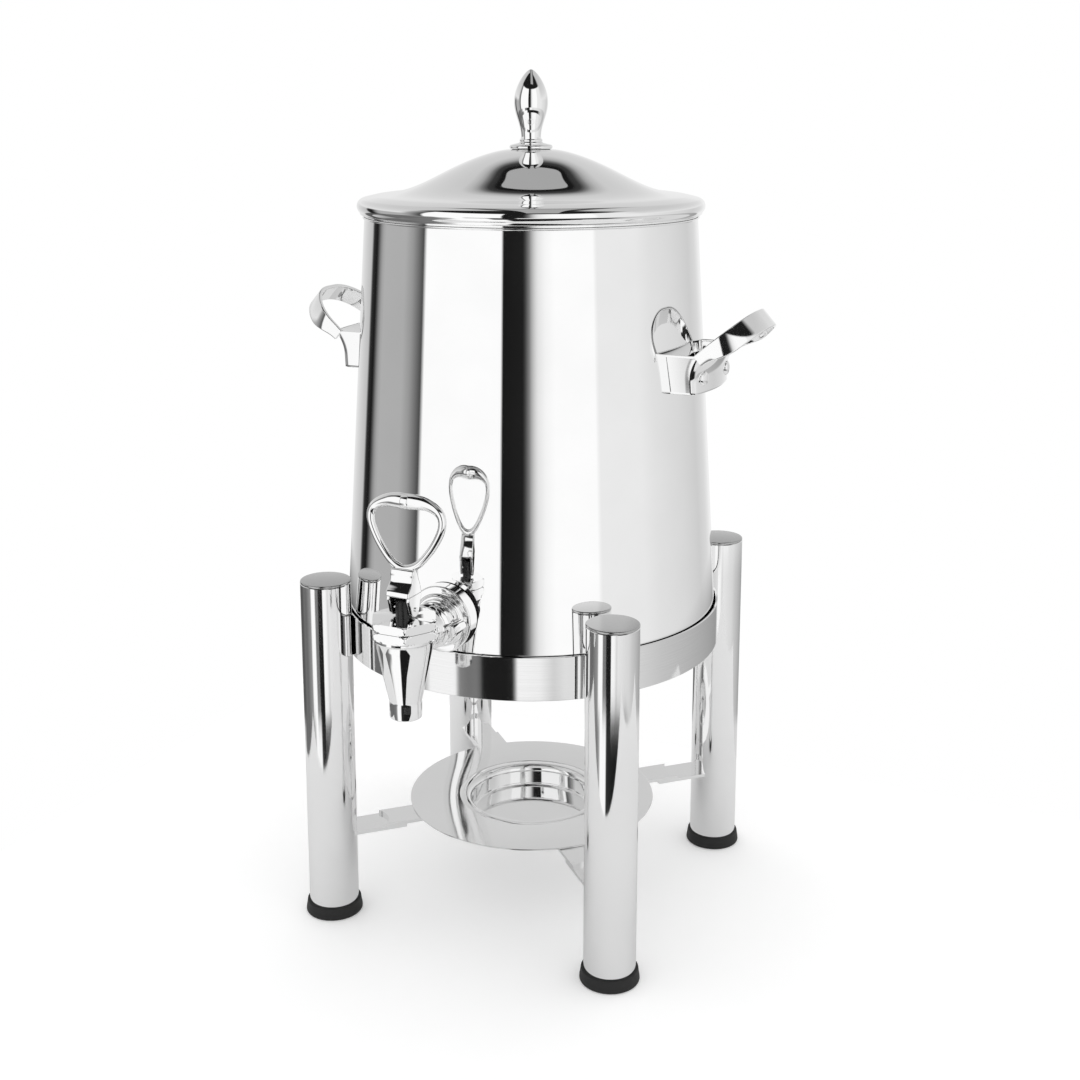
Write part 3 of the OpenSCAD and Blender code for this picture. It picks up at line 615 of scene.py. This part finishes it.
handle_steel = sheet_metal("handle_steel", 0.975, 0.04, sway=0.00003, grain=0.000001, grain_axis="X")
tab_points, tab_faces = pressed_tab()
loop_points, loop_faces = handle_loop()
handle = join((tab_points / 1000, tab_faces), (loop_points / 1000, loop_faces))
rivet_outline = np.vstack([
    [[0, 146.2], [2.4, 146.2], [2.4, 149.3], [5.2, 149.3]], [[5.5, 149.6], [5.5, 149.8]],
    [[5.5 * math.cos(a), 149.8 + 2.6 * math.sin(a)] for a in np.linspace(0.1, np.pi / 2, 14)]])
rivet_outline[-1, 0] = 0
rivets = join(*[
    aimed(turned(rivet_outline, 48, closed=False), (0, 0, 426.5),
          (math.cos(math.radians(a)), math.sin(math.radians(a)), 0)) for a in (-9.9, 9.9)])
for side_name, turn_round in (("right", lambda part: part), ("left", flipped)):
    to_shape("handle_pressing_" + side_name, *turn_round(handle), "urn", "handle_steel",
             handle_steel, ["handle_" + side_name])
    to_shape("handle_rivet_pair_" + side_name, *turn_round(rivets), "urn", "handle_steel",
             handle_steel, ["handle_rivets_" + side_name], crease=40)
    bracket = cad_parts["handle_bracket_" + side_name]
    bracket.data.materials.clear()
    bracket.data.materials.append(handle_steel)

# ---------- tap shank and coupling nut ----------
# Chromed brass: a threaded tube through the wall with a stepped flange outside, clamped by a
# hexagon nut and two rubber gaskets, and a round coupling nut with two round lugs along it.
tap_chrome = sheet_metal("tap_chrome", 0.985, 0.03, sway=0.00005, grain=0.0000006)
black_plastic = moulded("black_plastic", 0.006, 0.26, 900, 0.00002)
tap_z = 265.0
forward = (0, -1, 0)


def tap_ring(outline, steps=128):
    """Closed outline of (r, distance in front of the axis), turned about the tap's axis."""
    return aimed(turned(outline, steps), (0, 0, tap_z), forward)


def saddled(part, extra):
    """Points closer to the vessel's axis than the wall plus extra move out to it along -Y."""
    points, faces = part
    points = points.copy()
    x, y, z = points.T * 1000
    r = wall_radius(z) + extra
    limit = -np.sqrt(np.maximum(r**2 - x**2, 0))
    points[:, 1] = np.minimum(y, limit) / 1000
    return points, faces


flange = saddled(tap_ring(np.vstack([
    [[8, 140], [23.4, 140], [24, 140.6], [24, 146], [24, 149.4]], bend(22.8, 150.1, 1.2, 0, 90, 5),
    [[20.4, 151.3]], bend(19.6, 152.6, 1.3, -90, -170, 4), bend(16.6, 153.4, 1.6, 0, 90, 5),
    [[14, 155.0], [8, 155.0]]])), 1.2)
stub = tap_ring([
    [5, 128.2], [7.4, 128.2], [8, 128.9], [8, 152], [10, 152.2], [10, 166.9], [5, 166.9]], 96)
to_shape("tap_flange", *join(flange, stub), "urn", "tap_chrome", tap_chrome, ["tap_shank"])
nut = tap_ring(np.vstack([
    [[10.1, 153.2], [14.2, 153.2], [15.4, 154.2]], bend(14.9, 155.6, 1.2, -30, 90, 6),
    [[14.4, 157.2], [14.4, 161.6]], bend(14.8, 163.4, 1.3, -110, 20, 7), bend(14.9, 165.6, 1.2, 0, 70, 4),
    [[14.2, 167.9], [10.1, 167.9]]]))
lug_outline = np.vstack([
    [[0, 154.6]], bend(3.4, 155.6, 1.0, -90, 0, 4), bend(3.6, 169.4, 0.8, 0, 90, 5), [[0, 170.2]]])
lugs = [aimed(turned(lug_outline, 48, closed=False), (x, 0, tap_z), forward) for x in (-18.6, 18.6)]
to_shape("tap_coupling_nut", *join(nut, *lugs), "urn", "tap_chrome", tap_chrome, ["tap_wing_nut"])
for part, finish in (("tap_lock_nut", tap_chrome), ("tap_outer_gasket", foot_rubber),
                     ("tap_inner_gasket", foot_rubber)):
    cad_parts[part].data.materials.clear()
    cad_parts[part].data.materials.append(finish)

# ---------- tap body and bonnet ----------
# One chromed casting: a short barrel, a hexagonal collar over the valve chamber and a tapered
# spout. A second hexagon, the bonnet nut, screws down on the collar.
spout_at = (0, -200)


def hexagon_ring(rows, hole, steps=240):
    """Closed surface round the spout's axis: at each (z, limit) the hexagon's radius, or the
    round limit that its corners are turned down to, and a round hole of that radius inside."""
    u = np.arange(steps) * 2 * np.pi / steps
    flat = 21.04 / np.cos(u % (np.pi / 3) - np.pi / 6)
    outer = [np.minimum(flat, limit) for z, limit in rows]
    loops = [np.stack([spout_at[0] + r * np.cos(u), spout_at[1] + r * np.sin(u), np.full(steps, z)], -1)
             for r, (z, limit) in zip(outer, rows)]
    for z in (rows[-1][0], rows[0][0]):
        loops.append(np.stack([
            spout_at[0] + hole * np.cos(u), spout_at[1] + hole * np.sin(u), np.full(steps, z)], -1))
    loops.append(loops[0])
    points, quads = sweep(np.stack(loops) / 1000)
    last = len(points) - steps
    return points[:last], [np.where(quads >= last, quads - last, quads)]


collar = hexagon_ring([(269.8, 21.6), (270.6, 23.2), (271.2, 24.0), (271.8, 24.2), (274.4, 24.2),
                       (275.2, 23.8), (275.8, 23.1), (276.3, 22.2)], 13)
cone = turned(np.vstack([
    [[7.5, 262], [7.5, 213.6]], bend(8.6, 213.3, 1.1, 180, 270, 4), bend(10.1, 213.1, 0.95, -90, 0, 4),
    [[11.05, 218], [11.1, 222.5]], bend(16.6, 223.5, 5.5, 178, 168, 3), [[15.9, 246], [19.0, 262]],
    bend(22.4, 265.6, 2.9, 165, 120, 4), [[20.9, 270.4], [13, 270.4]]]), 160, spout_at)
barrel = aimed(turned(np.vstack([
    [[5.1, 168.2], [12.6, 168.2]], bend(13.2, 169.6, 1.4, -90, 0, 5), [[14.4, 171.6]],
    bend(17.6, 176.2, 5.0, 205, 172, 5), [[11.2, 180], [11, 192], [5.1, 192]]]), 96),
    (0, 0, tap_z), forward)
to_shape("tap_casting", *join(collar, cone, barrel), "urn", "tap_chrome", tap_chrome, ["tap_body"],
         crease=28)
bonnet = hexagon_ring([(276.6, 22.2), (277.1, 23.1), (277.7, 23.8), (278.4, 24.2), (281.2, 24.2),
                       (281.9, 23.8), (282.4, 23.0), (282.75, 21.9)], 5.95)
to_shape("tap_bonnet_nut", *bonnet, "urn", "tap_chrome", tap_chrome, ["tap_bonnet"], crease=28)

# ---------- valve stem ----------
# Black acetal stem with a rounded head inside the fork, its silicone seat cup and the steel pin
# that the lever turns on.
seat_silicone = moulded("seat_silicone", 0.62, 0.42, 500, 0.00002)
for part, finish in (("tap_stem", black_plastic), ("tap_seat_cup", seat_silicone),
                     ("tap_lever_pin", plate_steel)):
    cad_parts[part].data.materials.clear()
    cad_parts[part].data.materials.append(finish)

# ---------- lever ----------
# Chromed casting: a heart-shaped wire loop with a swelling and a ring across its top, a neck
# scooped out in front, and a fork that straddles the stem.


def round_spline(knots, n):
    """Closed Catmull-Rom curve through the knots, n points evenly spaced in its parameter."""
    t = np.linspace(0, len(knots), n, endpoint=False)
    k = t.astype(int)
    f = (t - k)[:, None]
    a, b, c, d = (knots[(k + o) % len(knots)] for o in (-1, 0, 1, 2))
    return 0.5 * (2 * b + (c - a) * f + (2 * a - 5 * b + 4 * c - d) * f**2
                  + (3 * b - 3 * c + d - a) * f**3)


def heart_loop():
    """Round wire along the heart: in-plane half width a and half depth b at each knot, on a
    closed curve in the XZ plane, leaned 5 degrees back about the neck."""
    half = np.array([
        [0, 315.6, 2.7, 2.6], [9.8, 319.4, 2.6, 2.4], [19.2, 330.0, 2.6, 2.4], [25.6, 341.5, 2.7, 2.5],
        [27.2, 349.4, 2.8, 2.6], [25.2, 355.0, 3.1, 2.8], [20.2, 358.6, 3.7, 3.2],
        [13.5, 360.8, 4.5, 3.8], [6.5, 361.2, 5.2, 4.3]])
    top = np.array([[0, 361.0, 5.4, 4.5]])
    left = half[1:][::-1] * [-1, 1, 1, 1]
    curve = round_spline(np.vstack([half, top, left]), 220)
    run = np.roll(curve[:, :2], -1, 0) - np.roll(curve[:, :2], 1, 0)
    run /= np.linalg.norm(run, axis=1)[:, None]
    out_x, out_z = run[:, 1], -run[:, 0]
    u = np.arange(28) * 2 * np.pi / 28
    x = curve[:, :1] + out_x[:, None] * curve[:, 2:3] * np.cos(u)
    z = curve[:, 1:2] + out_z[:, None] * curve[:, 2:3] * np.cos(u)
    y = curve[:, 3:4] * np.sin(u)
    loops = np.stack([x, y, z], -1)
    loops = np.vstack([loops, loops[:1]])
    points, quads = sweep(loops)
    last = len(points) - 28
    points = points[:last]
    lean = math.radians(5)
    up, back = points[:, 2] - 304, points[:, 1] + 1
    points = np.stack([points[:, 0], back * math.cos(lean) + up * math.sin(lean) - 200,
                       304 + up * math.cos(lean) - back * math.sin(lean)], -1)
    return points / 1000, [np.where(quads >= last, quads - last, quads)]


def cheek(outline, x0, x1, r=0.7):
    """A side view of (y, z) carried from x0 to x1, its last r mm at each end drawn in round."""
    outline = np.asarray(outline, float)
    run = np.roll(outline, -1, 0) - np.roll(outline, 1, 0)
    run /= np.linalg.norm(run, axis=1)[:, None]
    inward = np.stack([-run[:, 1], run[:, 0]], -1)
    a = np.linspace(0, np.pi / 2, 5)
    xs = np.concatenate([x0 + r * (1 - np.sin(a[::-1])), x1 - r * (1 - np.sin(a))])
    inset = np.concatenate([r * (1 - np.cos(a[::-1])), r * (1 - np.cos(a))])
    loops = np.stack([
        np.hstack([np.full((len(outline), 1), x), outline + inward * d + [-200, 0]])
        for x, d in zip(xs, inset)])
    points, quads = sweep(loops)
    m = len(outline)
    first = np.arange(m)
    return points / 1000, [quads, first[::-1][None], (first + len(points) - m)[None]]


neck_side = round_spline(np.array([
    [8.4, 298.0], [8.5, 300.5], [7.2, 305.0], [5.2, 309.6], [3.6, 313.6], [1.2, 316.0], [-1.6, 315.8],
    [-2.7, 313.6], [-2.8, 310.6], [-3.3, 308.2], [-4.9, 305.9], [-7.0, 303.8], [-8.7, 302.0],
    [-9.2, 300.4], [-8.8, 298.4], [-4.0, 297.7], [4.0, 297.7]]), 96)
arm_side = np.vstack([
    bend(0, 289, 5.4, 200, 340, 14), [[6.6, 292.5], [8.3, 296], [8.6, 299.5], [-7.6, 299.5],
                                     [-8.3, 296], [-6.6, 292.5]]])
top_ring = aimed(turned(np.vstack([[[2, -2.9]], bend(4.3, -2.2, .7, -90, 0, 4),
    bend(4.3, 2.2, .7, 0, 90, 4), [[2, 2.9]]]), 64),
                 (0, -194.1, 360.8), (1, 0, 0))
lever = join(heart_loop(), top_ring, cheek(neck_side, -8.9, 8.9, 1.2),
             cheek(arm_side, -8.85, -6.35, 0.6), cheek(arm_side, 6.35, 8.85, 0.6))
to_shape("tap_lever_casting", *lever, "lever", "tap_chrome", tap_chrome, ["tap_lever"], crease=35)

# ---------- lid ----------
# Domed stainless lid: an ogee from its flat top to a rolled shoulder, and a hem turned in over
# the vessel's bead.
mouth = 538.0
swell = np.polyfit([17, 24, 36, 48, 60, 72, 84, 96, 108, 118],
                   [1, .978, .907, .812, .697, .567, .446, .358, .310, .285], 6)
dome_r = np.linspace(17, 118, 90)
dome = np.vstack([[2.7, mouth + 47.2], np.stack([dome_r, mouth + 47 * np.polyval(swell, dome_r)], -1)])
lid = np.vstack([
    dome, bend(124.6, mouth + 6, 5.7, 74, -38, 16), [[128.2, mouth + 1.3]],
    bend(127.3, mouth + 0.7, 0.8, -10, -170, 7), [[126.7, mouth + 1.2], [127.9, mouth + 3.0]],
    bend(124.6, mouth + 6, 4.7, -30, 74, 14),
    (dome - [0, 1])[::-1]])
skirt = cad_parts["lid_skirt"]
skirt.data.materials.clear()
skirt.data.materials.append(mirror_steel)
to_shape("lid_shell", *turned(lid, 256), "lid", "mirror_steel", mirror_steel, ["lid_dome"], crease=40)

# ---------- knob ----------
# Turned solid from bar: a flange with a rounded edge, a small collar, a slim neck and a pointed
# egg-shaped grip, screwed on from inside the lid.
seat = mouth + 47.0
w = np.linspace(0, 1, 25)[:, None]
grip = np.hstack([7.4 + 5.2 * (1 - np.cos(np.pi * w)) / 2, seat + 9 + 25.5 * w])
q = np.radians(np.linspace(0, 90, 28))[1:]
crown = np.stack([12.6 * (0.55 * np.cos(q) + 0.45 * np.cos(np.pi / 2 * np.sin(q))),
                  seat + 34.5 + 23.9 * np.sin(q)], -1)
knob = np.vstack([
    [[0, seat + 0.05], [14.2, seat + 0.05]], bend(14.5, seat + 1.85, 1.65, -70, 80, 9),
    [[11.8, seat + 4.2]], bend(9.4, seat + 5.6, 0.8, -100, -175, 3),
    bend(7.9, seat + 6.7, 0.75, -70, 80, 6),
    grip, crown])
knob[-1, 0] = 0
for part in ("finial_washer", "finial_screw"):
    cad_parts[part].data.materials.clear()
    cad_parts[part].data.materials.append(plate_steel)
to_shape("lid_knob", *turned(knob, 128, closed=False), "lid", "cast_steel", mirror_steel, ["lid_finial"])
